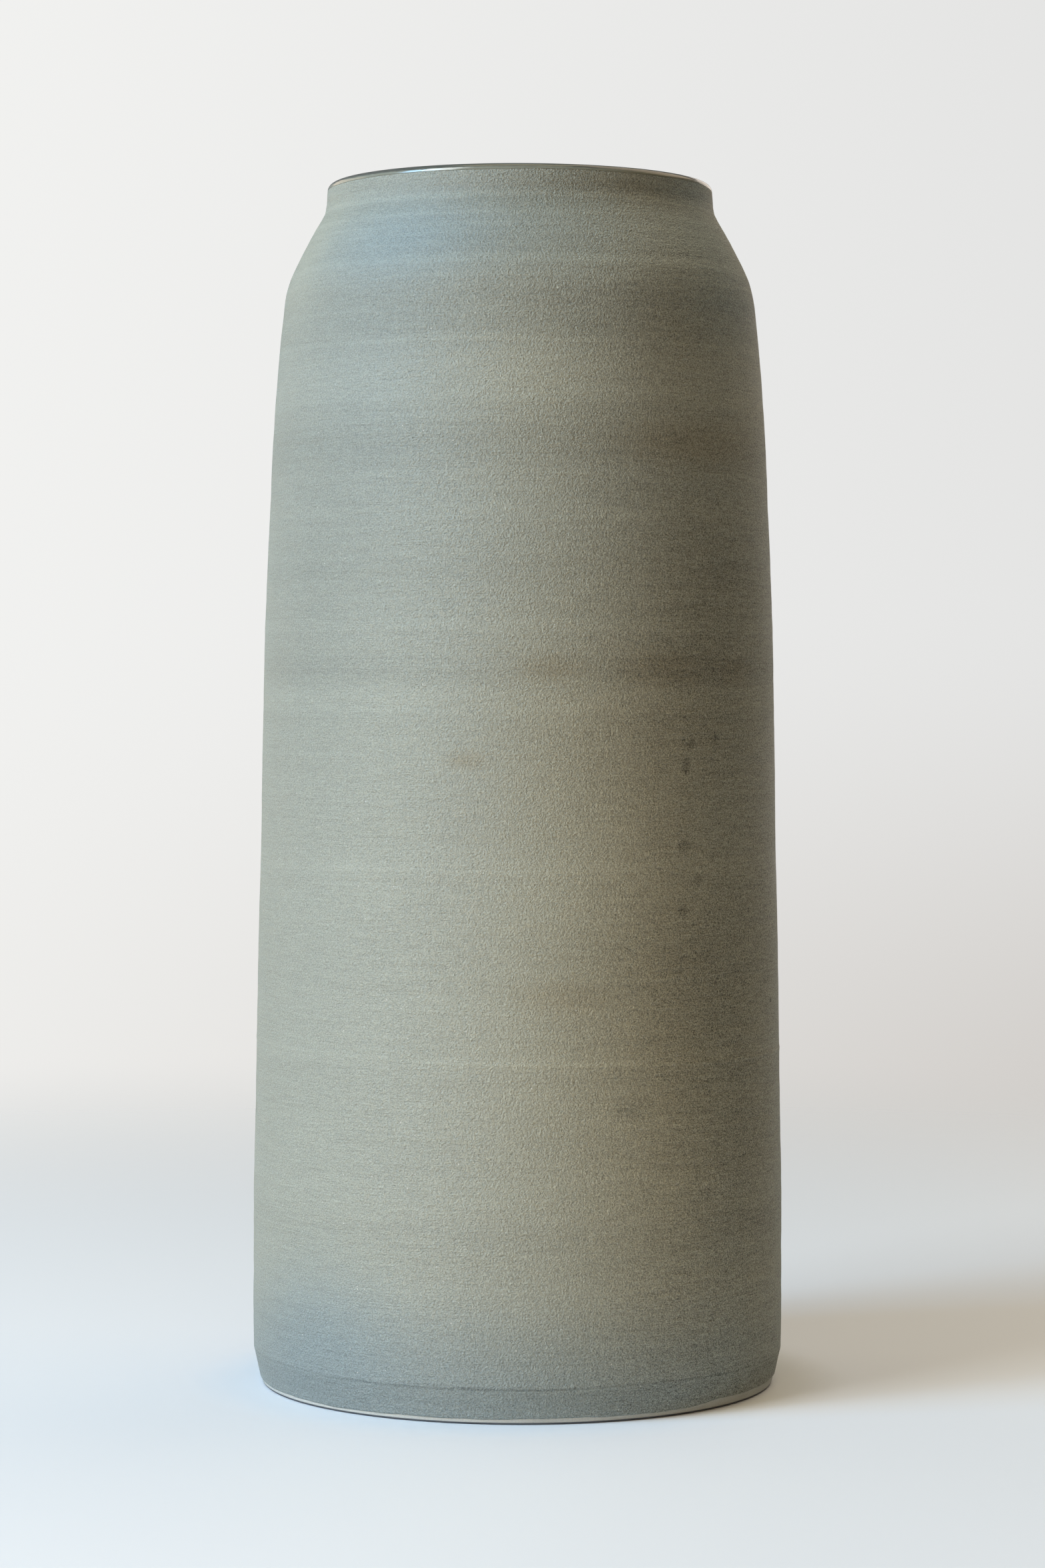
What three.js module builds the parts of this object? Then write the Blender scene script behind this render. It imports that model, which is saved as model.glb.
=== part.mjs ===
// Tall stoneware vase: thrown on a wheel in sections, luted together with slip, coated with
// slip outside and lined with glaze. Millimetres, +Z up along the vase's axis, origin at the
// centre of the foot's contact circle.
//
// Every piece is a solid of revolution. The slip coat and the liner glaze have the finished
// surface as their outer face, and the clay sections lie just behind them. "Depth" is always
// the distance behind the finished surface.
import * as THREE from "three";

// Finished outline
const HEIGHT = 450;
const FOOT = { radius: 96.8, round: 0.8 }; // the edge that meets the shelf
const ARRIS = { radius: 100, z: 13.4 }; // crisp edge above the foot's bevel, the widest point
const SHOULDER = { radius: 87.55, z: 411 }; // where the body turns into the shoulder cone
const COLLAR = { radius: 72.8, z: 439.2 }; // where the cone meets the upright collar
const LIP_ROUND = 2.45; // half the lip's thickness
const LIP = { radius: 72.3, round: LIP_ROUND, z: HEIGHT - LIP_ROUND };

// Body curve from the arris to the shoulder: a gentle taper, then a roll inwards
const BODY_TAPER = 7.7;
const TAPER_POWER = 1.43;
const ROLL_POWER = 8.7;
const SHOULDER_SWELL = 0.7; // how far the cone swells past a straight line

// Wall thickness at each level, floor and underside
const WALL = { foot: 9, shoulder: 6.5, collar: 5.4, lip: 2 * LIP.round };
const FLOOR = { z: 14, fillet: 14 };
const FOOT_RING = { inner: 84, recess: 80, recessZ: 3.5 };

// Skins and joints
const SKIN = 0.4; // slip outside, glaze inside
const GAP = 0.05; // left between pieces that meet
const CLAY_DEPTH = SKIN + GAP;
const SLIP_BOTTOM = 2.2; // the clay is bare below this height
const SLIP_TOP = LIP.z - GAP;
const SEAM = { thickness: 0.6, depth: 2 }; // luting slip, and how far a tongue reaches down
const SEAM_HEIGHTS = { lower: 130, shoulder: SHOULDER.z, collar: COLLAR.z };

// Facets
const SEGMENTS = 40;
const BODY_STEPS = 8;
const SHOULDER_STEPS = 4;
const ARC_STEPS = 4;

const mix = THREE.MathUtils.lerp;
const point = (radius, z) => new THREE.Vector2(radius, z);
const aboveSeam = (z) => z + SEAM.thickness + 2 * GAP;

// Share of the way from one level to another.
const share = (z, from, to) => (z - from.z) / (to.z - from.z);

// The finished vase's outside radius at height z, from the foot to the lip's rounding.
function outsideRadius(z) {
  if (z <= ARRIS.z) return mix(FOOT.radius, ARRIS.radius, z / ARRIS.z);
  if (z <= SHOULDER.z) {
    const u = share(z, ARRIS, SHOULDER);
    const roll = ARRIS.radius - BODY_TAPER - SHOULDER.radius;
    return ARRIS.radius - BODY_TAPER * u ** TAPER_POWER - roll * u ** ROLL_POWER;
  }
  if (z <= COLLAR.z) {
    const u = share(z, SHOULDER, COLLAR);
    return mix(SHOULDER.radius, COLLAR.radius, u) + SHOULDER_SWELL * 4 * u * (1 - u);
  }
  return mix(COLLAR.radius, LIP.radius, share(z, COLLAR, LIP));
}

// The wall thins from the foot to the lip.
function wallThickness(z) {
  if (z <= SHOULDER.z) return mix(WALL.foot, WALL.shoulder, z / SHOULDER.z);
  if (z <= COLLAR.z) return mix(WALL.shoulder, WALL.collar, share(z, SHOULDER, COLLAR));
  return mix(WALL.collar, WALL.lip, share(z, COLLAR, LIP));
}

const insideRadius = (z) => outsideRadius(z) - wallThickness(z);
const outsidePoint = (z, depth) => point(outsideRadius(z) - depth, z);
const insidePoint = (z, depth) => point(insideRadius(z) + depth, z);

// Heights at which both faces of the wall get a point, closer together where the body rolls in.
function wallHeights() {
  const heights = [];
  for (let i = 1; i < BODY_STEPS; i++) {
    heights.push(mix(SHOULDER.z, ARRIS.z, (1 - i / BODY_STEPS) ** 2));
  }
  for (let i = 1; i < SHOULDER_STEPS; i++) {
    heights.push(mix(SHOULDER.z, COLLAR.z, i / SHOULDER_STEPS));
  }
  for (const z of Object.values(SEAM_HEIGHTS)) heights.push(z, aboveSeam(z));
  return heights.sort((a, b) => a - b);
}

const between = (low, high) => wallHeights().filter((z) => z >= low && z <= high);

// A circular arc about (radius, z); angles in degrees.
function arc(centre, size, from, to) {
  const points = [];
  for (let i = 0; i <= ARC_STEPS; i++) {
    const angle = THREE.MathUtils.degToRad(mix(from, to, i / ARC_STEPS));
    points.push(point(centre.x + size * Math.cos(angle), centre.y + size * Math.sin(angle)));
  }
  return points;
}

// Over the lip from the outside to the inside.
function lipArc(depth) {
  return arc(point(LIP.radius - LIP.round, LIP.z), LIP.round - depth, 0, 180);
}

// Down from the inside wall, round the fillet and across the floor to the axis.
function floorLine(depth) {
  const z = FLOOR.z + FLOOR.fillet;
  const centre = point(insideRadius(z) - FLOOR.fillet, z);
  return [...arc(centre, FLOOR.fillet + depth, 0, -90), point(0, FLOOR.z - depth)];
}

// A closed lathe solid, turned from the lathe's own Y axis to +Z.
function turned(name, outline, material) {
  const geometry = new THREE.LatheGeometry(outline, SEGMENTS).rotateX(Math.PI / 2);
  const mesh = new THREE.Mesh(geometry, material);
  mesh.name = name;
  return mesh;
}

const closed = (outline) => [...outline, outline[0]];

// V across the wall at a joint, from its outer edge to its inner edge.
function seamLine(z, lift) {
  const outer = outsidePoint(z + lift, CLAY_DEPTH);
  const inner = insidePoint(z + lift, CLAY_DEPTH);
  const tip = point((outer.x + inner.x) / 2, z + lift - SEAM.depth);
  return [outer, tip, inner];
}

const grooveLine = (z) => seamLine(z, 0);
const tongueLine = (z) => seamLine(z, SEAM.thickness + 2 * GAP);

// Outer and inner clay faces strictly between two heights, listed upwards.
const clayOutside = (low, high) => between(low, high).map((z) => outsidePoint(z, CLAY_DEPTH));
const clayInside = (low, high) => between(low, high).map((z) => insidePoint(z, CLAY_DEPTH));

// Bottom of the vase: trimmed foot ring, floor and the first stretch of wall.
function baseSection(material) {
  const seam = SEAM_HEIGHTS.lower;
  const footEdge = outsidePoint(FOOT.round, CLAY_DEPTH);
  return turned("base_section", [
    point(0, FOOT_RING.recessZ),
    point(FOOT_RING.recess, FOOT_RING.recessZ),
    point(FOOT_RING.inner, 0),
    point(footEdge.x - FOOT.round, 0),
    footEdge,
    outsidePoint(ARRIS.z, CLAY_DEPTH),
    ...clayOutside(ARRIS.z, seam - GAP),
    ...grooveLine(seam),
    ...clayInside(ARRIS.z, seam - GAP).reverse(),
    ...floorLine(CLAY_DEPTH),
  ], material);
}

// A stretch of wall with a tongue below and a groove above.
function middleSection(name, lower, upper, material) {
  const low = aboveSeam(lower) + GAP;
  const high = upper - GAP;
  return turned(name, closed([
    ...tongueLine(lower).reverse(),
    ...clayOutside(low, high),
    ...grooveLine(upper),
    ...clayInside(low, high).reverse(),
  ]), material);
}

// The upright collar with its rounded lip.
function neckCollar(material) {
  return turned("neck_collar", closed([
    ...tongueLine(SEAM_HEIGHTS.collar).reverse(),
    ...lipArc(CLAY_DEPTH),
  ]), material);
}

// The layer of slip that sticks two sections together.
function seamRing(name, z, material) {
  return turned(name, closed([
    ...seamLine(z, GAP).reverse(),
    ...seamLine(z, GAP + SEAM.thickness),
  ]), material);
}

// Matt slip over the outside, from just above the foot to the start of the lip.
function outerSlipCoat(material) {
  const heights = [SLIP_BOTTOM, ARRIS.z, ...wallHeights(), SLIP_TOP];
  return turned("outer_slip_coat", closed([
    ...heights.map((z) => outsidePoint(z, 0)),
    ...heights.reverse().map((z) => outsidePoint(z, SKIN)),
  ]), material);
}

// Glossy glaze over the lip, down the inside and across the floor.
function linerGlaze(material) {
  const face = (depth) => [
    ...lipArc(depth),
    ...wallHeights().reverse().map((z) => insidePoint(z, depth)),
    ...floorLine(depth),
  ];
  return turned("liner_glaze", [...face(SKIN).reverse(), ...face(0)], material);
}

const surface = (color, roughness) => {
  return new THREE.MeshStandardMaterial({ color, roughness, metalness: 0 });
};
const clay = surface(0xbcbdb6, 0.85);
const lutingSlip = surface(0xc5c4ba, 0.9);
const mattSlip = surface(0x9ba193, 0.7);
const glaze = surface(0x5b5c56, 0.12);

const vase = new THREE.Group();
vase.add(
  baseSection(clay),
  middleSection("belly_section", SEAM_HEIGHTS.lower, SEAM_HEIGHTS.shoulder, clay),
  middleSection("shoulder_section", SEAM_HEIGHTS.shoulder, SEAM_HEIGHTS.collar, clay),
  neckCollar(clay),
  ...Object.entries(SEAM_HEIGHTS).map(([name, z]) => {
    return seamRing(name + "_seam_slip", z, lutingSlip);
  }),
  outerSlipCoat(mattSlip),
  linerGlaze(glaze),
);

export default vase;
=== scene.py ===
"""A tall stoneware vase, thrown in sections: matt speckled slip outside, dark glaze over the lip.

Lengths are millimetres until a mesh is made. Angles go round the vase in degrees: 0 faces the
camera and positive is to its right.
"""
import math

import bmesh
import bpy
import numpy as np
from mathutils import Matrix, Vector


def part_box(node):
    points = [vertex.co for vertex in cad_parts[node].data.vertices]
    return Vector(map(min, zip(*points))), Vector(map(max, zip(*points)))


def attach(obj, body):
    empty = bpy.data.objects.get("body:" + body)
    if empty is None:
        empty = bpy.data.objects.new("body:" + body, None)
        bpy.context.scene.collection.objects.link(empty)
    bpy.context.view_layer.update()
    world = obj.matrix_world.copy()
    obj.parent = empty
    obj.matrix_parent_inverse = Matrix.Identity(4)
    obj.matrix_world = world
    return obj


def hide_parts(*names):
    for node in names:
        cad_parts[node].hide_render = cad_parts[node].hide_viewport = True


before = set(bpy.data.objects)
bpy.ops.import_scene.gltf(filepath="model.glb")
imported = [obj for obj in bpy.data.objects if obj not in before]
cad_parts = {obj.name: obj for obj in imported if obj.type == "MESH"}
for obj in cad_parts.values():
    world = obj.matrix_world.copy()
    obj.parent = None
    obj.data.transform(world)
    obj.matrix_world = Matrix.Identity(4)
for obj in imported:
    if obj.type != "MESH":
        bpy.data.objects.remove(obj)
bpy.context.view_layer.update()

MM = 0.001


def box_start(node):
    """The lowest x, y and z of a node's box, in millimetres."""
    return np.array(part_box(node)[0]) / MM


def box_end(node):
    """The highest x, y and z of a node's box, in millimetres."""
    return np.array(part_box(node)[1]) / MM


# ---- Sizes: levels and radii that the frame gives ----
HEIGHT = box_end("liner_glaze")[2]
SLIP_BOTTOM = box_start("outer_slip_coat")[2]
SLIP_TOP = box_end("outer_slip_coat")[2]
LOWER_SEAM = box_end("base_section")[2]
SHOULDER = box_end("belly_section")[2]
COLLAR = box_end("shoulder_section")[2]
ARRIS_RADIUS = box_end("outer_slip_coat")[0]

# Thickness of the slip coat and of the glaze, the gap behind them, and so how far the clay
# lies behind the finished surface
SKIN = 0.4
GAP = 0.05
CLAY_DEPTH = SKIN + GAP
SHOULDER_RADIUS = box_end("shoulder_seam_slip")[0] + CLAY_DEPTH
COLLAR_RADIUS = box_end("collar_seam_slip")[0] + CLAY_DEPTH

# Finished outline: the foot, the crisp arris above it, the body's taper and roll, the
# shoulder's swell and the lip
FOOT_RADIUS = 96.8
ARRIS = 13.4
BODY_TAPER = 7.7
TAPER_POWER = 1.43
ROLL_POWER = 8.7
SHOULDER_SWELL = 0.7
LIP_ROUND = 2.45
LIP = HEIGHT - LIP_ROUND
LIP_RADIUS = 72.3

# Where the thrown wall wanders from that outline: height, reach above and below, how far out
WANDERINGS = [
    (ARRIS, 9, -0.25),
    (74, 20, 0.28),
    (203, 20, -0.27),
    (279, 20, 0.20),
    (330, 10, -0.18),
]

# Wall, floor and foot
WALL_LEVELS = [0, SHOULDER, COLLAR, LIP]
WALL_THICKNESS = [9.0, 6.5, 5.4, 2 * LIP_ROUND]
FLOOR = 14.0
FLOOR_FILLET = 14.0
FOOT_ROUND = 0.9
FOOT_RING_INNER = 84.0
RECESS_RADIUS = 80.0
RECESS = 3.5

# The potter's marks: mean depth of the fingers' spirals inside and how far apart their turns
# are, the back of the glaze behind them, the floor's rings and their full depth, and spacing
# and mean depth of the tool's rings underneath
FINGER_DEPTH = 0.28
FINGER_TURN = 15.0
FINE_TURN = 6.1
GLAZE_BACK = SKIN + 0.5
FLOOR_RING = 17.0
FLOOR_RING_DEPTH = 0.25
TRIM_RING = 5.3
TRIM_DEPTH = 0.14

# Joints between the thrown sections: height of the layer of slip, and depth of the V
SEAM_SLIP = 0.6
SEAM_DEPTH = 2.0

SEGMENTS = 224
ANGLES = np.radians(np.arange(SEGMENTS) * 360 / SEGMENTS)
ANGLE_DEGREES = (np.degrees(ANGLES) + 180) % 360 - 180


# ---- The outline ----
def smoothstep(value, start, end):
    """0 at the start and 1 at the end, with an easy slope between them."""
    t = np.clip((np.asarray(value, float) - start) / (end - start), 0, 1)
    return t * t * (3 - 2 * t)


def plain_radius(z):
    """The outside radius with its breaks left sharp."""
    z = np.asarray(z, float)
    body = np.clip((z - ARRIS) / (SHOULDER - ARRIS), 0, 1)
    roll = (ARRIS_RADIUS - BODY_TAPER - SHOULDER_RADIUS) * body**ROLL_POWER
    cone = np.clip((z - SHOULDER) / (COLLAR - SHOULDER), 0, 1)
    swell = SHOULDER_SWELL * 4 * cone * (1 - cone)
    pieces = [
        (z <= ARRIS, np.interp(z, [0, ARRIS], [FOOT_RADIUS, ARRIS_RADIUS])),
        (z <= SHOULDER, ARRIS_RADIUS - BODY_TAPER * body**TAPER_POWER - roll),
        (z <= COLLAR, SHOULDER_RADIUS + (COLLAR_RADIUS - SHOULDER_RADIUS) * cone + swell),
    ]
    collar = np.interp(z, [COLLAR, LIP], [COLLAR_RADIUS, LIP_RADIUS])
    return np.select([p[0] for p in pieces], [p[1] for p in pieces], collar)


def outside_radius(z):
    """The outside radius, with each break eased over a height that suits it."""
    z = np.asarray(z, float)
    breaks = [0, ARRIS, ARRIS + 10, SHOULDER - 25, SHOULDER, COLLAR, LIP]
    reaches = [0.1, 0.5, 2, 6, 7, 3.5, 0.1]
    reach = np.interp(z, breaks, reaches)
    samples = np.linspace(-1, 1, 11)
    weights = 1 - np.abs(samples) * 0.8
    eased = [plain_radius(z + reach * s) * w for s, w in zip(samples, weights)]
    wandering = [out * np.exp(-(((z - at) / half) ** 2)) for at, half, out in WANDERINGS]
    return np.sum(eased, axis=0) / weights.sum() + np.sum(wandering, axis=0)


def inside_radius(z):
    """The radius of the glazed inside, before the fingers' marks."""
    return outside_radius(z) - np.interp(z, WALL_LEVELS, WALL_THICKNESS)


# ---- The potter's marks in the surface ----
# Height on the vase, how far it dips at right, width and rise of each raised line
RIDGES = [
    (LOWER_SEAM - 1.8, 1.9, 0.8, 0.14),
    (COLLAR - 1.8, 0.0, 0.8, 0.06),
    (COLLAR - 7.0, 0.2, 0.9, 0.05),
    (COLLAR - 11.0, 0.2, 0.8, 0.05),
    (SHOULDER + 3.0, 0.3, 1.5, 0.07),
    (SHOULDER - 25.2, 0.4, 0.7, 0.05),
    (SHOULDER - 127.0, 0.5, 2.5, 0.05),
]
# Height between two rings, their depth and how many rings they climb in one turn. The last two
# sets don't climb a whole ring, so they end in a step of under 0.1 mm at the front.
RINGS = [(21.0, 0.040, 1.0), (13.3, 0.030, -0.4), (7.9, 0.018, 0.6)]
# How far the rings together can cut below the outline
DEEPEST = sum(depth for _, depth, _ in RINGS)
# How far below its plain level the slip's wiped edge runs, and how far it rises at right
WIPED_DROP = 0.2
WIPED_RISE = 1.7


def calm(z):
    """How strongly the wheel's marks show: not at all on the foot's bevel, hardly at the lip."""
    z = np.asarray(z, float)
    return smoothstep(z, ARRIS, ARRIS + 15) * smoothstep(LIP - z, -0.5, 2)


def relief(z):
    """How far the slip's surface stands out from its outline, at each height and angle."""
    z = np.asarray(z, float)
    turn = ANGLES / (2 * np.pi)
    surface = np.zeros(np.broadcast(z, turn).shape)
    for spacing, depth, climb in RINGS:
        fade = 0.65 + 0.35 * np.sin(z / (4.7 * spacing) + 3 * depth * spacing)
        surface += depth * fade * np.sin(2 * np.pi * (z / spacing + climb * turn))
    for level, tilt, width, rise in RIDGES:
        offset = (z - level + tilt * np.sin(ANGLES)) / width
        surface += rise * np.exp(-(offset**2))
    return surface * calm(z)


def slip_edge():
    """Height of the slip's wandering lower edge at each angle: it was wiped higher at right."""
    wiped = WIPED_RISE * smoothstep(ANGLE_DEGREES, 38, 50) * smoothstep(-ANGLE_DEGREES, -150, -120)
    wander = 0.22 * np.sin(3 * ANGLES + 0.6) + 0.12 * np.sin(11 * ANGLES)
    ripple = 0.07 * np.sin(29 * ANGLES + 1) + 0.05 * np.sin(53 * ANGLES)
    return SLIP_BOTTOM - WIPED_DROP + wiped + wander + ripple


def glaze_edge():
    """Height at each angle where the lip's glaze runs out over the slip."""
    wander = 0.16 * np.sin(2 * ANGLES + 1) + 0.08 * np.sin(7 * ANGLES) + 0.05 * np.sin(23 * ANGLES)
    return LIP + 0.1 + wander


# ---- Meshes of revolution ----
def lathe(name, radii, heights):
    """A closed mesh from rings, each of one radius and height or of one for every angle.

    The last ring joins the first, and a ring of radius 0 becomes a point on the axis.
    """
    rings = len(heights)
    radii = np.broadcast_to(np.reshape(radii, (rings, -1)), (rings, SEGMENTS))
    heights = np.broadcast_to(np.reshape(heights, (rings, -1)), (rings, SEGMENTS))
    points = np.stack([radii * np.sin(ANGLES), -radii * np.cos(ANGLES), heights], -1) * MM
    ring = np.arange(rings)[:, None]
    segment = np.arange(SEGMENTS)[None]
    next_ring = (ring + 1) % rings
    next_segment = (segment + 1) % SEGMENTS
    corners = [(ring, segment), (ring, next_segment), (next_ring, next_segment), (next_ring, segment)]
    quads = np.stack([r * SEGMENTS + s for r, s in corners], -1).reshape(-1, 4)
    mesh = bpy.data.meshes.new(name)
    mesh.from_pydata(points.reshape(-1, 3).tolist(), [], quads.tolist())
    work = bmesh.new()
    work.from_mesh(mesh)
    bmesh.ops.remove_doubles(work, verts=work.verts, dist=1e-3 * MM)
    bmesh.ops.recalc_face_normals(work, faces=work.faces)
    work.to_mesh(mesh)
    work.free()
    mesh.shade_smooth()
    mesh.set_sharp_from_angle(angle=math.radians(40))
    piece = bpy.data.objects.new(name, mesh)
    bpy.context.scene.collection.objects.link(piece)
    return piece


def stack(*parts):
    """Rings from several stretches of outline, each a (radii, heights) pair, as one pair."""
    wide = [[np.broadcast_to(np.reshape(v, (len(h), -1)), (len(h), SEGMENTS)) for v in (r, h)]
            for r, h in parts]
    return np.concatenate([w[0] for w in wide]), np.concatenate([w[1] for w in wide])


def backwards(stretch):
    """The same rings in the opposite order."""
    return stretch[0][::-1], stretch[1][::-1]


def levels(start, *stops):
    """Heights from start through (height, step) stops, evenly spaced on the way to each."""
    heights = [start]
    for stop, step in stops:
        count = max(1, round(abs(stop - heights[-1]) / step))
        heights += list(np.linspace(heights[-1], stop, count + 1)[1:])
    return np.array(heights)


def arc(radius, z, size, angles):
    """Part of a circle of a size round a point of the outline."""
    angles = np.radians(angles)
    return radius + size * np.cos(angles), z + size * np.sin(angles)


def lip_arc(depth, angles):
    """Round the lip at a depth behind its surface: 0 degrees is outside and 180 is inside."""
    return arc(LIP_RADIUS - LIP_ROUND, LIP, LIP_ROUND - depth, angles)


def floor_line(depth, steps):
    """Round the fillet from the wall and across the floor to the axis."""
    start = FLOOR + FLOOR_FILLET
    centre = float(inside_radius(start)) - FLOOR_FILLET
    fillet = arc(centre, start, FLOOR_FILLET + depth, np.linspace(0, -90, steps))
    across = np.linspace(1, 0, 2 * steps)[1:]
    return stack(fillet, (centre * across, np.full(len(across), FLOOR - depth)))


# ---- The pieces' shapes ----
def behind_slip(heights, depth):
    """A face at a depth behind the outline, and behind the deepest of the wheel's marks."""
    return outside_radius(heights) - depth - DEEPEST * calm(heights), heights


def slip_coat():
    """The matt slip over the outside, from its wiped edge at the foot to the lip."""
    rows = levels(SLIP_BOTTOM, (4, 0.2), (ARRIS - 1.5, 0.7), (ARRIS + 2, 0.25), (ARRIS + 7, 0.6),
                  (LOWER_SEAM - 4.5, 1.6), (LOWER_SEAM + 1, 0.4), (SHOULDER - 27, 1.6),
                  (COLLAR, 0.6), (SLIP_TOP, 0.5))
    settled_low = 8.0
    settled_high = COLLAR + 3
    z = rows[:, None] + np.zeros(SEGMENTS)
    rise = (z - SLIP_BOTTOM) / (settled_low - SLIP_BOTTOM)
    z = np.where(z < settled_low, slip_edge() + (settled_low - slip_edge()) * rise, z)
    reach = (z - settled_high) / (SLIP_TOP - settled_high)
    top = glaze_edge() - GAP
    z = np.where(z > settled_high, settled_high + (top - settled_high) * reach, z)
    bead = 0.8 * SKIN * (1 - smoothstep(z - slip_edge(), 0, 0.5))
    face = np.minimum(outside_radius(z) + relief(z) - bead, ARRIS_RADIUS)
    back = np.concatenate([z[-1:], z[1:-1:16][::-1], z[:1]])
    return lathe("slip_coat", *stack((face, z), behind_slip(back, 0.9 * SKIN)))


def throwing_marks(heights):
    """The potter's finger marks up the inside wall: a shallow spiral."""
    turn = ANGLES / (2 * np.pi)
    heights = np.asarray(heights, float)
    fade = smoothstep(heights, FLOOR + FLOOR_FILLET, 60) * smoothstep(COLLAR - heights, 0, 40)
    broad = np.sin(2 * np.pi * (heights / FINGER_TURN + turn))
    fine = np.sin(2 * np.pi * (heights / FINE_TURN + turn))
    return FINGER_DEPTH * fade * (1 + (broad + 0.4 * fine) / 1.4)


def floor_rings(stretch):
    """Finger rings pressed into the floor, over a stretch of outline that crosses it."""
    radii, heights = stretch
    radii = np.asarray(radii, float)
    dip = 0.5 * (1 - np.cos(2 * np.pi * radii / FLOOR_RING)) * smoothstep(70 - radii, 0, 15)
    return radii, heights - dip * FLOOR_RING_DEPTH


def liner_glaze():
    """Glossy glaze over the lip, down the inside and across the floor."""
    edge = glaze_edge()
    down = levels(LIP, (COLLAR, 0.8), (FLOOR + FLOOR_FILLET, 1.6))[1:-1][:, None]
    face = stack(
        (np.full((1, SEGMENTS), LIP_RADIUS - 0.14), edge[None]),
        (np.full((1, SEGMENTS), LIP_RADIUS - 0.02), edge[None] + 0.12),
        lip_arc(0, np.linspace(15, 180, 34)),
        (inside_radius(down) + throwing_marks(down), down + np.zeros(SEGMENTS)),
        floor_rings(floor_line(0, 16)),
    )
    hidden = down[::12]
    back = stack(
        lip_arc(SKIN, np.linspace(15, 180, 12)),
        (inside_radius(hidden) + GLAZE_BACK, hidden),
        floor_line(SKIN, 6),
    )
    return lathe("lining_glaze", *stack(face, backwards(back)))


def foot_face():
    """The bare foot: a trimmed recess, the ring that the vase stands on and its rounded edge."""
    across = np.linspace(0, RECESS_RADIUS - 3, 110)
    trimming = TRIM_DEPTH * (1 - np.cos(2 * np.pi * across / TRIM_RING)) * smoothstep(across, 3, 8)
    slope = np.linspace(0.15, 0.95, 5)
    slope_radius = RECESS_RADIUS + (FOOT_RING_INNER - RECESS_RADIUS) * slope
    ring_outer = float(outside_radius(FOOT_ROUND)) - CLAY_DEPTH - FOOT_ROUND
    ring = np.linspace(FOOT_RING_INNER + 0.5, ring_outer, 9)
    return stack(
        (across, RECESS + trimming),
        (slope_radius, RECESS * (1 - slope)),
        (ring, np.zeros(len(ring))),
        arc(ring_outer, FOOT_ROUND, FOOT_ROUND, np.linspace(-75, 0, 6)),
    )


def clay_outside(heights):
    """The clay's outer face, behind the slip."""
    return behind_slip(heights, CLAY_DEPTH)


def clay_inside(heights):
    """The clay's inner face, behind the glaze."""
    return inside_radius(heights) + GLAZE_BACK + GAP, heights


def seam_line(z):
    """The V across the wall at a joint, from its outer to its inner edge."""
    outer = float(clay_outside(z)[0])
    inner = float(clay_inside(z)[0])
    drop = np.array([0, 0.5, 1, 0.5, 0]) * SEAM_DEPTH
    return np.linspace(outer, inner, len(drop)), z - drop


def base_clay():
    """Bottom of the vase: the foot, the floor and the first stretch of wall."""
    outer = levels(FOOT_ROUND, (6, 0.5), (ARRIS - 1, 1.2), (ARRIS + 1, 0.3), (LOWER_SEAM, 4))[1:-1]
    inner = levels(LOWER_SEAM, (FLOOR + FLOOR_FILLET, 5))[1:-1]
    return lathe("base_clay", *stack(
        foot_face(),
        clay_outside(outer),
        seam_line(LOWER_SEAM),
        clay_inside(inner),
        floor_line(CLAY_DEPTH, 6),
    ))


def thrown_clay(name, lower, upper):
    """A stretch of wall with a tongue below and a groove above."""
    bottom = lower + SEAM_SLIP + 2 * GAP
    wall = levels(bottom, (upper, 4))[1:-1]
    return lathe(name, *stack(
        backwards(seam_line(bottom)),
        clay_outside(wall),
        seam_line(upper),
        clay_inside(wall[::-1]),
    ))


def collar_clay():
    """The upright collar with its rounded lip."""
    bottom = COLLAR + SEAM_SLIP + 2 * GAP
    return lathe("collar_clay", *stack(
        backwards(seam_line(bottom)),
        lip_arc(CLAY_DEPTH, np.linspace(0, 180, 16)),
    ))


def luting(name, z):
    """The layer of slip that sticks two sections together."""
    return lathe(name, *stack(
        backwards(seam_line(z + GAP)),
        seam_line(z + GAP + SEAM_SLIP),
    ))


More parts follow.
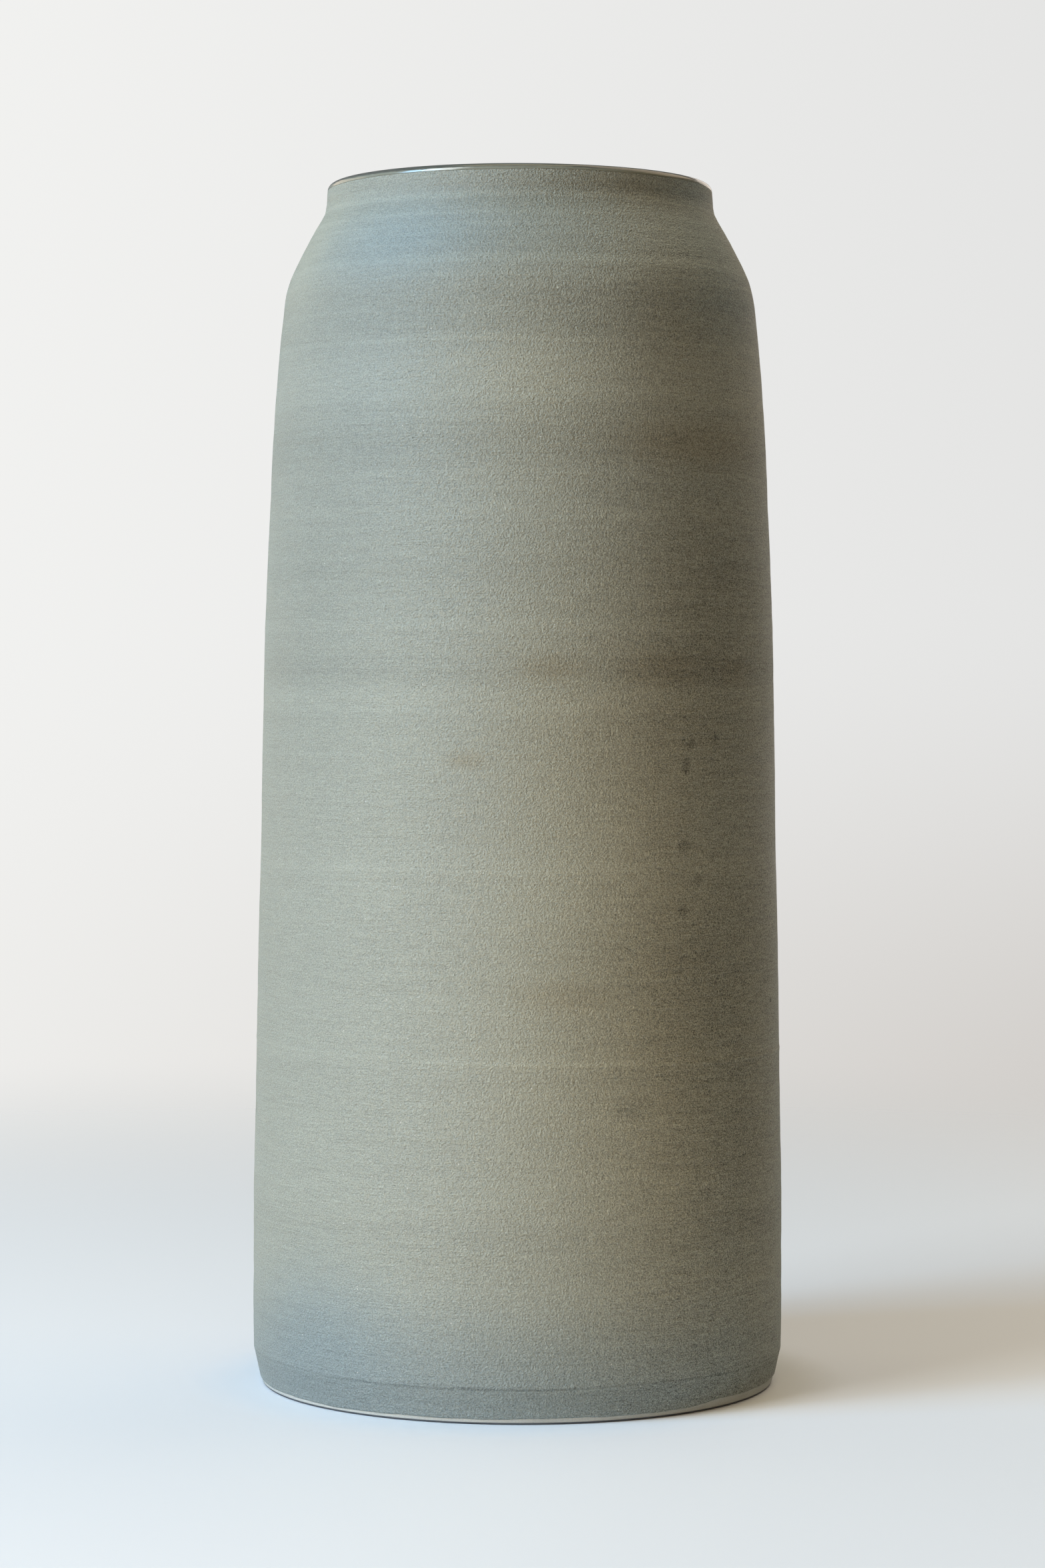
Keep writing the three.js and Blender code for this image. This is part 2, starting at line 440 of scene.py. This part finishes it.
# ---- Materials ----
class Surface:
    """A material's nodes, with a short call for each kind that is used here."""

    def __init__(self, name, roughness, colour=(0.5, 0.5, 0.5)):
        self.material = bpy.data.materials.new(name)
        self.material.use_nodes = True
        self.nodes = self.material.node_tree.nodes
        self.shader = self.nodes["Principled BSDF"]
        self.shader.inputs["Roughness"].default_value = roughness
        self.shader.inputs["Base Color"].default_value = (*colour, 1)
        self.place = self.node("ShaderNodeTexCoord").outputs["Object"]
        self.x, self.y, self.z = self.node("ShaderNodeSeparateXYZ", Vector=self.place).outputs
        self.height = self.math("DIVIDE", self.z, MM)
        turn = self.math("ARCTAN2", self.x, self.math("MULTIPLY", self.y, -1))
        self.angle = self.math("DEGREES", turn)

    def put(self, value, socket):
        """Link a node's output to a socket, or set a plain value on it."""
        if isinstance(value, bpy.types.NodeSocket):
            self.material.node_tree.links.new(value, socket)
        elif isinstance(value, tuple) and len(value) == 3 and socket.type == "RGBA":
            socket.default_value = (*value, 1)
        else:
            socket.default_value = value

    def node(self, kind, settings=(), **inputs):
        """A new node with its settings and its inputs filled in by name."""
        node = self.nodes.new(kind)
        for name, value in settings:
            setattr(node, name, value)
        for name, value in inputs.items():
            self.put(value, node.inputs[name])
        return node

    def math(self, operation, *values):
        """The result of one sum on one, two or three values."""
        node = self.node("ShaderNodeMath", [("operation", operation)])
        for value, socket in zip(values, node.inputs):
            self.put(value, socket)
        return node.outputs[0]

    def total(self, values):
        """The sum of a list of values."""
        result = values[0]
        for value in values[1:]:
            result = self.math("ADD", result, value)
        return result

    def weighted(self, layers):
        """The sum of layers, each a value and its weight."""
        return self.total([self.math("MULTIPLY", value, weight) for value, weight in layers])

    def stretched(self, x, y, z):
        """Object space scaled along each axis, in millimetres."""
        scale = (x / MM, y / MM, z / MM)
        node = self.node("ShaderNodeVectorMath", [("operation", "MULTIPLY")])
        self.put(self.place, node.inputs[0])
        self.put(scale, node.inputs[1])
        return node.outputs[0]

    def radius(self):
        """Distance from the vase's axis, in millimetres."""
        node = self.node("ShaderNodeVectorMath", [("operation", "LENGTH")])
        self.put(self.stretched(1, 1, 0), node.inputs[0])
        return node.outputs["Value"]

    def noise(self, size, detail=2.0, flat=1.0):
        """Noise, mostly -1 to 1, with features of a size in mm; flat squeezes them into rings."""
        across = 1 / (size * flat)
        space = self.stretched(across, across, 1 / size)
        node = self.node("ShaderNodeTexNoise", Vector=space, Scale=1.0, Detail=detail)
        return self.math("MULTIPLY_ADD", node.outputs["Fac"], 4, -2)

    def fade(self, value, low, high, at_low=0.0, at_high=1.0):
        """Smooth step from one number to another as value goes from low to high."""
        node = self.node("ShaderNodeMapRange", [("interpolation_type", "SMOOTHSTEP")])
        settings = [value, low, high, at_low, at_high]
        for setting, socket in zip(settings, node.inputs):
            self.put(setting, socket)
        return node.outputs[0]

    def mix(self, amount, first, second):
        """From the first colour at 0 to the second at 1."""
        node = self.node("ShaderNodeMix", [("data_type", "RGBA")])
        self.put(amount, node.inputs["Factor"])
        colours = [socket for socket in node.inputs if socket.type == "RGBA"]
        self.put(first, colours[0])
        self.put(second, colours[1])
        return next(socket for socket in node.outputs if socket.type == "RGBA")

    def toned(self, colour, tone):
        """A colour times a number."""
        node = self.node("ShaderNodeVectorMath", [("operation", "SCALE")])
        self.put(colour, node.inputs[0])
        self.put(tone, node.inputs["Scale"])
        return node.outputs[0]

    def band(self, height, level, half, edge):
        """1 within half of a level, fading to 0 over the edge."""
        away = self.math("ABSOLUTE", self.math("SUBTRACT", height, level))
        return self.fade(away, half + edge, half)

    def mark(self, sheet, around, level, long, tall, tilt, soft):
        """1 inside an ellipse on the unrolled surface: angles in degrees, lengths in mm."""
        node = self.node("ShaderNodeMapping", [("vector_type", "TEXTURE")], Vector=sheet)
        self.put((math.radians(around) * ARRIS_RADIUS, level, 0), node.inputs["Location"])
        self.put((0, 0, math.radians(tilt)), node.inputs["Rotation"])
        self.put((long / 2, tall / 2, 1), node.inputs["Scale"])
        reach = self.node("ShaderNodeVectorMath", [("operation", "LENGTH")])
        self.put(node.outputs[0], reach.inputs[0])
        return self.fade(reach.outputs["Value"], 1 + soft, 1 - soft)

    def unrolled(self, wander):
        """The surface laid flat: millimetres round it and up it, with ragged edges."""
        around = self.math("MULTIPLY", self.angle, math.radians(1) * ARRIS_RADIUS)
        ragged = self.math("MULTIPLY", self.noise(1.2), wander)
        parts = {"X": around, "Y": self.math("ADD", self.height, ragged), "Z": 0.0}
        return self.node("ShaderNodeCombineXYZ", **parts).outputs[0]

    def specks(self, size, cell, share):
        """1 in sparse dots of a size, one to each cell of the surface that is given one."""
        space = self.stretched(1 / cell, 1 / cell, 1 / cell)
        node = self.node("ShaderNodeTexVoronoi", Vector=space, Scale=1.0)
        chance = self.node("ShaderNodeSeparateColor", Color=node.outputs["Color"])
        chosen = self.math("GREATER_THAN", chance.outputs[0], 1 - share)
        dot = self.fade(node.outputs["Distance"], size / cell / 2, size / cell / 3)
        return self.math("MULTIPLY", dot, chosen)

    def bump(self, *layers):
        """Relief from layers, each a value from -1 to 1 and its height in millimetres."""
        node = self.node("ShaderNodeBump", Height=self.weighted(layers), Distance=MM)
        self.put(node.outputs["Normal"], self.shader.inputs["Normal"])

    def colour(self, value):
        """Set or link the base colour."""
        self.put(value, self.shader.inputs["Base Color"])


# Rings in the slip: height, half their width, soft edge, and how much lighter or darker
SLIP_RINGS = [
    (439.0, 0.6, 0.9, 0.080),
    (436.0, 0.5, 0.8, -0.010),
    (432.2, 0.4, 0.7, 0.060),
    (429.5, 4.0, 2.0, 0.015),
    (427.8, 0.3, 0.7, 0.050),
    (424.3, 0.3, 0.6, 0.035),
    (420.5, 0.3, 0.6, 0.015),
    (418.0, 0.4, 0.6, -0.015),
    # painted highlight along the shoulder's edge
    (415.0, 0.8, 1.0, 0.040),
    (408.8, 0.3, 0.6, 0.030),
    (401.0, 2.0, 2.0, -0.030),
    (399.5, 8.0, 5.0, -0.035),
    (391.0, 4.0, 3.0, -0.025),
    (385.8, 0.4, 0.7, 0.050),
    (372.5, 6.0, 5.0, 0.050),
    (355.7, 0.5, 0.6, -0.025),
    (350.0, 4.0, 3.0, -0.025),
    (346.5, 5.0, 4.0, -0.025),
    (339.0, 0.3, 0.6, 0.025),
    (324.5, 1.3, 2.0, 0.030),
    (319.0, 0.3, 0.6, 0.020),
    (304.0, 2.0, 2.5, -0.022),
    (294.0, 0.3, 0.6, 0.025),
    (284.0, 1.2, 2.0, 0.035),
    (270.0, 2.0, 2.5, -0.034),
    (266.0, 1.5, 2.0, -0.028),
    (257.0, 3.0, 2.5, 0.038),
    (224.0, 0.3, 0.6, 0.020),
    (198.0, 1.5, 2.0, 0.020),
    (196.7, 0.3, 0.6, 0.030),
    (163.0, 8.0, 6.0, -0.012),
    (128.5, 1.5, 1.5, 0.020),
    (122.0, 2.0, 2.0, -0.014),
    (109.5, 0.3, 0.5, -0.030),
    (80.0, 5.0, 5.0, 0.012),
    (66.0, 3.0, 3.0, -0.015),
    (44.0, 4.0, 4.0, 0.015),
    # a dark line along the arris, then painted shade on the foot's bevel below it, which faces down
    (13.4, 0.2, 0.5, -0.080),
    (6.0, 5.5, 1.0, -0.050),
]

# Scuffs, spots and scratches: degrees round, height, length, height, tilt, softness, tone
SLIP_MARKS = [
    (21.3, 407.0, 6, 1.2, 35, 0.5, 0.22),
    (8.8, 404.0, 0.9, 0.9, 0, 0.3, 0.60),
    (23.0, 385.0, 3, 24, 0, 0.8, 0.05),
    (24.7, 338.5, 8, 3, 0, 0.7, 0.06),
    (-10.0, 338.0, 110, 0.8, 0.2, 0.6, 0.04),
    (43.0, 325.0, 2, 8, 0, 0.7, 0.05),
    (33.0, 304.0, 2, 15, 0, 0.8, 0.05),
    (30.0, 296.0, 80, 0.8, 0.3, 0.6, 0.07),
    (47.6, 243.0, 4, 5, 0, 0.6, -0.26),
    (40.0, 242.0, 4, 3, 30, 0.6, -0.26),
    (-12.8, 236.0, 8, 4, 0, 0.7, -0.05),
    (38.6, 234.0, 4, 5, 0, 0.6, -0.30),
    (-32.0, 232.0, 8, 0.7, -2, 0.4, 0.10),
    (46.0, 209.5, 28, 0.6, 3, 0.4, 0.12),
    (37.7, 205.0, 6, 4.5, 0, 0.6, -0.28),
    (41.8, 192.5, 4, 4, 0, 0.5, -0.22),
    (10.0, 187.0, 90, 0.8, -0.6, 0.6, 0.05),
    (37.4, 181.5, 5, 4.5, 0, 0.6, -0.24),
    (-53.0, 172.0, 9, 0.7, 2, 0.4, 0.12),
    (23.8, 169.0, 2, 1.5, 0, 0.5, -0.14),
    (28.0, 158.0, 60, 1.6, -0.4, 0.7, 0.06),
    (72.3, 146.0, 3, 1.2, 0, 0.3, -0.55),
    (31.0, 143.0, 6, 1.2, 40, 0.5, -0.14),
    (0.0, 128.2, 230, 0.9, -1, 0.5, 0.07),
    (24.1, 112.0, 13, 7, 10, 0.8, -0.14),
    (-20.0, 104.0, 70, 0.7, 0.5, 0.5, 0.06),
    (35.7, 97.0, 4, 1, 60, 0.4, -0.14),
    (41.5, 83.0, 32, 0.6, 1, 0.4, 0.16),
    (15.2, 66.5, 2.2, 6, 0, 0.7, 0.16),
    (41.5, 57.0, 2, 5, 0, 0.7, 0.16),
    (71.6, 20.0, 3, 1.5, 45, 0.3, -0.35),
    (12.0, 13.5, 1.6, 0.7, 20, 0.4, -0.35),
    # These two draw a long dark line along the arris
    (-14.0, 12.9, 96, 0.9, 0, 0.5, -0.22),
    (36.0, 12.9, 50, 0.8, 0, 0.5, -0.10),
]

# Brown stains: degrees round, height, length, height
SLIP_STAINS = [
    (44, 350, 70, 16),
    (7, 269, 22, 9),
    (33, 269, 34, 11),
    (54, 268, 20, 9),
    (-11, 236, 14, 6),
    (10, 152, 30, 10),
]

# Broad flashes of the firing, together with painted light and shade: the cool patches at the
# shoulder and at the bottom are painted bluish reflections, the lighter strips at the far left edge
# painted highlights, the darker bottom painted shade, and the warmth on the right partly painted warm
# reflected light. Degrees round, height, length, height, how warm, how light
SLIP_FLASHES_AND_PAINTED_LIGHT = [
    (18, 441, 100, 14, 0.12, -0.20),
    (0, 425, 60, 24, -0.10, -0.10),
    (62, 425, 60, 60, -0.45, 0.10),
    (-32, 424, 70, 26, -0.34, 0.02),
    (-72, 420, 44, 50, 0.12, 0.14),
    (34, 411, 60, 14, 0.00, 0.06),
    (-24, 385, 60, 80, -0.14, 0.00),
    (0, 380, 90, 70, 0.20, 0.02),
    (36, 380, 40, 50, 0.05, -0.07),
    (62, 370, 70, 70, 0.10, 0.10),
    (-20, 360, 270, 170, -0.09, 0.00),
    (-52, 300, 60, 120, 0.00, -0.09),
    (8, 290, 50, 130, 0.12, -0.02),
    (50, 285, 40, 80, 0.05, -0.07),
    (42, 280, 60, 90, 0.05, -0.11),
    (60, 260, 60, 420, 0.00, -0.06),
    (20, 243, 90, 50, 0.08, -0.07),
    (-80, 220, 22, 420, 0.00, 0.06),
    (12, 210, 50, 120, 0.00, 0.04),
    (-16, 180, 90, 270, 0.00, 0.10),
    (38, 170, 105, 280, 0.27, -0.02),
    (66, 170, 44, 200, 0.00, -0.04),
    (34, 155, 70, 60, 0.00, -0.10),
    (48, 150, 60, 120, 0.00, -0.06),
    (66, 150, 40, 320, 0.16, -0.02),
    (16, 130, 80, 160, 0.16, 0.00),
    (40, 120, 60, 200, 0.08, 0.00),
    (54, 85, 60, 170, 0.12, -0.10),
    (56, 85, 40, 60, 0.00, -0.06),
    (-46, 30, 60, 44, -0.22, -0.04),
    (60, 4, 130, 50, -0.14, 0.02),
    (-36, 0, 300, 60, -0.44, -0.16),
]

# How far the rings' and the marks' edges wander in mm, how soft the stains and the flashes with
# their painted light and shade are, and how strong the stains are
RING_WANDER = 0.5
MARK_WANDER = 0.35
FLASH_AND_PAINTED_LIGHT_SOFTNESS = 0.95
STAIN_SOFTNESS = 0.8
STAIN_STRENGTH = 0.36

# Painted shade: the grain's and the rings' contrast grows stronger across the vase towards its
# right, standing in for raking light on their relief. From x, to x, strength at each
GRAIN_SHADING_ACROSS = (0, 85, 1.0, 2.6)
RING_SHADING_ACROSS = (-60, 85, 1.25, 1.85)

# Painted contact shadow at the foot's outer edge, where it stands on the floor: it fades over these
# heights and over this far inside the edge
CONTACT_SHADOW_HEIGHT = (1.05, 0.60)
CONTACT_SHADOW_REACH = (1.9, 1.4)

# The glaze is thin outside the lip: how far inside its radius and above its middle that fades
THIN_REACH = (1.2, 0.5)
THIN_HEIGHT = (1.45, 0.75)

# Colours
COOL_SLIP = (0.255, 0.307, 0.300)
WARM_SLIP = (0.362, 0.335, 0.228)
STAIN_COLOUR = (0.27, 0.228, 0.135)
PALE_SPECK = (0.62, 0.61, 0.55)
CLAY_COLOUR = (0.44, 0.455, 0.42)
PALE_GROG = (0.72, 0.71, 0.66)
DARK_GROG = (0.20, 0.18, 0.15)
# Near black for the painted contact shadow at the foot's edge
FOOT_CONTACT_SHADOW = (0.06, 0.07, 0.08)
PASTE_COLOUR = (0.56, 0.55, 0.49)
GLAZE_COLOUR = (0.105, 0.108, 0.092)
GLAZE_BREAK = (0.25, 0.255, 0.20)
GLAZE_SPECK = (0.18, 0.17, 0.14)


def matt_slip():
    """Matt grey-green slip: fine speckle, faint rings from the wheel and the marks of use."""
    slip = Surface("matt_slip", 0.6)
    level = slip.math("MULTIPLY_ADD", slip.noise(55), RING_WANDER, slip.height)
    rings = slip.weighted([
        (slip.band(level, at, half, edge), tone) for at, half, edge, tone in SLIP_RINGS
    ])
    patchy = slip.math("MULTIPLY_ADD", slip.noise(38, flat=2), 0.35, 1.0)
    sheet = slip.unrolled(MARK_WANDER)
    marks = slip.weighted([(slip.mark(sheet, *mark[:-1]), mark[-1]) for mark in SLIP_MARKS])
    # The flashes carry painted reflections, highlights and shade in their tone and warmth, as well as
    # the firing's colour
    flashes_and_painted_light = [
        (slip.mark(sheet, *patch[:4], 0, FLASH_AND_PAINTED_LIGHT_SOFTNESS), *patch[4:]) for patch in SLIP_FLASHES_AND_PAINTED_LIGHT
    ]
    stains = slip.weighted([
        (slip.mark(sheet, *stain, 0, STAIN_SOFTNESS), STAIN_STRENGTH) for stain in SLIP_STAINS
    ])
    grain = slip.noise(0.5)
    mottle = slip.noise(0.95)
    turned = slip.noise(0.55, detail=1, flat=16)
    streaks = slip.noise(2.4, detail=3, flat=14)
    clouds = slip.noise(26, flat=2.2)
    speckle = slip.weighted([(grain, 0.29), (mottle, 0.04), (turned, 0.05), (streaks, 0.03)])
    across = slip.math("DIVIDE", slip.x, MM)
    # Painted shade: stronger grain and rings towards the right, standing in for raking light on their
    # relief
    grain_shading = slip.fade(across, *GRAIN_SHADING_ACROSS)
    ring_shading = slip.fade(across, *RING_SHADING_ACROSS)
    tone = slip.total([
        slip.math("MULTIPLY_ADD", speckle, grain_shading, 1.0),
        slip.weighted([(clouds, 0.02), (rings, slip.math("MULTIPLY", patchy, ring_shading))]),
        marks,
        slip.weighted([(place, light) for place, _, light in flashes_and_painted_light]),
    ])
    warmth = slip.total([
        slip.math("MULTIPLY_ADD", slip.noise(0.9), 0.08, 0.5),
        slip.weighted([(place, warm) for place, warm, _ in flashes_and_painted_light]),
    ])
    base = slip.mix(stains, slip.mix(warmth, COOL_SLIP, WARM_SLIP), STAIN_COLOUR)
    pale = slip.specks(0.55, 2.6, 0.10)
    slip.colour(slip.mix(slip.math("MULTIPLY", pale, 0.8), slip.toned(base, tone), PALE_SPECK))
    rough = slip.math("MULTIPLY_ADD", streaks, 0.03, 0.6)
    slip.put(slip.math("MULTIPLY_ADD", clouds, 0.04, rough), slip.shader.inputs["Roughness"])
    slow = slip.noise(5, detail=3, flat=30)
    slip.bump((grain, 0.10), (mottle, 0.11), (turned, 0.05), (streaks, 0.07), (slow, 0.10))
    return slip.material


def bare_clay():
    """Unglazed grey stoneware, wiped with a sponge: gritty, with pale and dark grog."""
    clay = Surface("clay_body", 0.8)
    grain = clay.noise(0.5)
    turned = clay.noise(0.5, detail=2, flat=18)
    blotches = clay.noise(9)
    shades = clay.weighted([(grain, 0.10), (turned, 0.05), (blotches, 0.04)])
    tone = clay.math("ADD", shades, 1.0)
    grog = clay.toned(CLAY_COLOUR, tone)
    grog = clay.mix(clay.specks(0.5, 2.0, 0.20), grog, PALE_GROG)
    grog = clay.mix(clay.specks(0.45, 2.3, 0.12), grog, DARK_GROG)
    # Painted contact shadow: the foot's lowest, outermost edge goes near black where it stands on the
    # floor
    lowest = clay.fade(clay.height, *CONTACT_SHADOW_HEIGHT)
    outermost = clay.fade(clay.radius(), *[FOOT_RADIUS - reach for reach in CONTACT_SHADOW_REACH])
    clay.colour(clay.mix(clay.math("MULTIPLY", lowest, outermost), grog, FOOT_CONTACT_SHADOW))
    clay.bump((grain, 0.03), (turned, 0.02), (clay.noise(1.6), 0.03))
    return clay.material


def luting_slip():
    """The clay paste between two sections: paler and smoother than the body."""
    paste = Surface("luting_slip", 0.9)
    grain = paste.noise(0.7)
    paste.colour(paste.toned(PASTE_COLOUR, paste.math("MULTIPLY_ADD", grain, 0.06, 1.0)))
    paste.bump((grain, 0.02))
    return paste.material


def liner():
    """Dark glossy glaze, paler where it thins at its edge outside the lip."""
    glaze = Surface("liner_glaze", 0.1)
    glaze.put(0.8, glaze.shader.inputs["Specular IOR Level"])
    pools = glaze.noise(11)
    crystals = glaze.noise(0.8, detail=3)
    tone = glaze.math("MULTIPLY_ADD", pools, 0.10, 1.0)
    tone = glaze.math("MULTIPLY_ADD", crystals, 0.08, tone)
    body = glaze.toned(GLAZE_COLOUR, tone)
    wander = glaze.math("MULTIPLY_ADD", glaze.noise(3.5), 0.15, glaze.height)
    outermost = glaze.fade(glaze.radius(), *[LIP_RADIUS - reach for reach in THIN_REACH])
    lowest = glaze.fade(wander, *[LIP + height for height in THIN_HEIGHT])
    thin = glaze.math("MULTIPLY", outermost, lowest)
    body = glaze.mix(thin, body, GLAZE_BREAK)
    glaze.colour(glaze.mix(glaze.specks(0.4, 3.5, 0.15), body, GLAZE_SPECK))
    rough = glaze.math("MULTIPLY_ADD", thin, 0.06, 0.1)
    glaze.put(glaze.math("MULTIPLY_ADD", pools, 0.02, rough), glaze.shader.inputs["Roughness"])
    glaze.bump((pools, 0.03), (glaze.noise(2.5), 0.008))
    return glaze.material


# ---- The vase ----
def finish_piece(piece, material, slot, *nodes):
    """Give a piece its material, hide the nodes it stands for and hang it on the root it rides on."""
    piece.data.materials.append(material)
    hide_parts(*nodes)
    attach(piece, "root")


clay = bare_clay()
paste = luting_slip()
finish_piece(slip_coat(), matt_slip(), "matt_slip", "outer_slip_coat")
finish_piece(liner_glaze(), liner(), "liner_glaze", "liner_glaze")
finish_piece(base_clay(), clay, "clay_body", "base_section")
finish_piece(thrown_clay("belly_clay", LOWER_SEAM, SHOULDER), clay, "clay_body", "belly_section")
finish_piece(thrown_clay("shoulder_clay", SHOULDER, COLLAR), clay, "clay_body", "shoulder_section")
finish_piece(collar_clay(), clay, "clay_body", "neck_collar")
finish_piece(luting("lower_luting", LOWER_SEAM), paste, "luting_slip", "lower_seam_slip")
finish_piece(luting("shoulder_luting", SHOULDER), paste, "luting_slip", "shoulder_seam_slip")
finish_piece(luting("collar_luting", COLLAR), paste, "luting_slip", "collar_seam_slip")


# ---- Floor, background, lights and camera ----
# The floor's radius, where it fades into the background, and where it thins just round the foot
FLOOR_REACH = 1500
FLOOR_FADE = (400, 1300)
FLOOR_THINS = (100, 130)
FLOOR_THINNED = 0.75
FLOOR_COLOUR = (0.90, 0.95, 0.99)

# The background's colours: lighter at left and darker at right, painted light and shade, with a
# painted shadow low at right. Its left blends into its right over these sideways parts of the
# direction, and the painted shadow into the right over these upward parts.
BACKGROUND_LEFT = (0.91, 0.91, 0.895)
BACKGROUND_RIGHT = (0.75, 0.75, 0.745)
BACKGROUND_SHADOW = (0.58, 0.55, 0.52)
BACKGROUND_SIDEWAYS = (-0.3, 0.3)
BACKGROUND_UPWARD = (-0.12, 0.02)

# The soft white glow on the vase comes from behind it
GLOW_FROM = (0, 1, 0)
GLOW_STRENGTH = 0.25


def floor():
    """A plain pale floor that fades into the background."""
    mesh = bpy.data.meshes.new("floor")
    work = bmesh.new()
    bmesh.ops.create_circle(work, cap_ends=True, segments=96, radius=FLOOR_REACH * MM)
    work.to_mesh(mesh)
    work.free()
    disc = bpy.data.objects.new("floor", mesh)
    bpy.context.scene.collection.objects.link(disc)
    paint = Surface("floor_paint", 0.55, FLOOR_COLOUR)
    near = paint.fade(paint.radius(), *FLOOR_THINS, 1.0, FLOOR_THINNED)
    far = paint.fade(paint.radius(), *FLOOR_FADE, 1.0, 0.0)
    paint.put(paint.math("MULTIPLY", near, far), paint.shader.inputs["Alpha"])
    mesh.materials.append(paint.material)


def background():
    """A pale background for the camera, and a separate, dimmer glow that lights the vase."""
    world = bpy.data.worlds.new("studio")
    world.use_nodes = True
    nodes = world.node_tree.nodes
    links = world.node_tree.links
    view = nodes["Background"]
    place = nodes.new("ShaderNodeTexCoord")
    axes = nodes.new("ShaderNodeSeparateXYZ")
    links.new(place.outputs["Generated"], axes.inputs[0])

    def blend(axis, start, end, first, second):
        """From one colour to another as the direction's part along an axis goes start to end."""
        shade = nodes.new("ShaderNodeMapRange")
        shade.interpolation_type = "SMOOTHSTEP"
        links.new(axes.outputs[axis], shade.inputs[0])
        shade.inputs["From Min"].default_value = start
        shade.inputs["From Max"].default_value = end
        mix = nodes.new("ShaderNodeMix")
        mix.data_type = "RGBA"
        links.new(shade.outputs[0], mix.inputs["Factor"])
        for colour, socket in zip((first, second), [s for s in mix.inputs if s.type == "RGBA"]):
            if isinstance(colour, tuple):
                socket.default_value = (*colour, 1)
            else:
                links.new(colour, socket)
        return next(socket for socket in mix.outputs if socket.type == "RGBA")

    # Painted shadow low on the right of the background, and painted shade towards its right
    right = blend("Z", *BACKGROUND_UPWARD, BACKGROUND_SHADOW, BACKGROUND_RIGHT)
    wall = blend("X", *BACKGROUND_SIDEWAYS, BACKGROUND_LEFT, right)
    links.new(wall, view.inputs["Color"])
    facing = nodes.new("ShaderNodeVectorMath")
    facing.operation = "DOT_PRODUCT"
    links.new(place.outputs["Generated"], facing.inputs[0])
    facing.inputs[1].default_value = GLOW_FROM
    strength = nodes.new("ShaderNodeMath")
    strength.operation = "MULTIPLY"
    strength.use_clamp = True
    links.new(facing.outputs["Value"], strength.inputs[0])
    strength.inputs[1].default_value = GLOW_STRENGTH
    glow = nodes.new("ShaderNodeBackground")
    glow.inputs["Color"].default_value = (1, 1, 1, 1)
    links.new(strength.outputs[0], glow.inputs["Strength"])
    choice = nodes.new("ShaderNodeMixShader")
    ray = nodes.new("ShaderNodeLightPath")
    links.new(ray.outputs["Is Camera Ray"], choice.inputs[0])
    links.new(glow.outputs[0], choice.inputs[1])
    links.new(view.outputs[0], choice.inputs[2])
    links.new(choice.outputs[0], nodes["World Output"].inputs["Surface"])
    bpy.context.scene.world = world


# Name, degrees round from the camera, degrees up, distance, height aimed at, width and height
# in mm, watts and colour
LIGHTS = [
    ("window", -52, 40, 2600, 225, 900, 1200, 27.5, (0.95, 0.99, 1.0)),
    ("sky", -65, 30, 2600, 225, 900, 1200, 46, (0.35, 0.65, 1.0)),
    ("sky_glow", -52, 10, 2600, 225, 900, 1200, 10, (0.35, 0.65, 1.0)),
    ("low_window", -45, 4, 1100, 90, 500, 160, 4.2, (1.0, 0.74, 0.48)),
    ("room", 0, 12, 2600, 225, 1200, 1000, 12, (1.0, 0.72, 0.45)),
    ("rim", -130, 6, 2600, 225, 2000, 2000, 16, (1.0, 0.79, 0.59)),
    ("right_wall", 155, 10, 2600, 260, 1200, 1600, 8, (1.0, 0.88, 0.76)),
    ("high_right", 120, 50, 2600, 300, 2000, 2000, 17, (1.0, 0.80, 0.58)),
    ("overhead", 0, 86, 2600, 225, 1600, 1600, 12, (0.94, 0.82, 0.48)),
]


def area_light(name, around, up, distance, aim, width, height, watts, colour):
    """A softbox facing the vase, unseen by the camera."""
    data = bpy.data.lights.new(name, "AREA")
    data.shape = "RECTANGLE"
    data.size = width * MM
    data.size_y = height * MM
    data.energy = watts
    data.color = colour
    light = bpy.data.objects.new(name, data)
    turn = Matrix.Rotation(math.radians(around), 4, "Z") @ Matrix.Rotation(math.radians(90 - up), 4, "X")
    away = Matrix.Translation((0, 0, distance * MM))
    light.matrix_world = Matrix.Translation((0, 0, aim * MM)) @ turn @ away
    light.visible_camera = False
    bpy.context.scene.collection.objects.link(light)


# The camera's place and its lens and film height in mm, its pitch and its roll in degrees
CAMERA_PLACE = (1.5, -1497.5, 267.0)
CAMERA_PITCH = -1.6
CAMERA_ROLL = 0.13
CAMERA_LENS = 91.0
CAMERA_FILM = 36.0


def camera():
    """The camera a metre and a half in front of the vase, a little above its middle."""
    data = bpy.data.cameras.new("camera")
    data.sensor_fit = "VERTICAL"
    data.sensor_height = CAMERA_FILM
    data.lens = CAMERA_LENS
    data.clip_start = 0.05
    view = bpy.data.objects.new("camera", data)
    tilt = Matrix.Rotation(math.radians(90 + CAMERA_PITCH), 4, "X")
    roll = Matrix.Rotation(math.radians(CAMERA_ROLL), 4, "Z")
    view.matrix_world = Matrix.Translation([v * MM for v in CAMERA_PLACE]) @ tilt @ roll
    bpy.context.scene.collection.objects.link(view)
    bpy.context.scene.camera = view


floor()
background()
for light in LIGHTS:
    area_light(*light)
camera()
bpy.context.scene.view_settings.view_transform = "Standard"
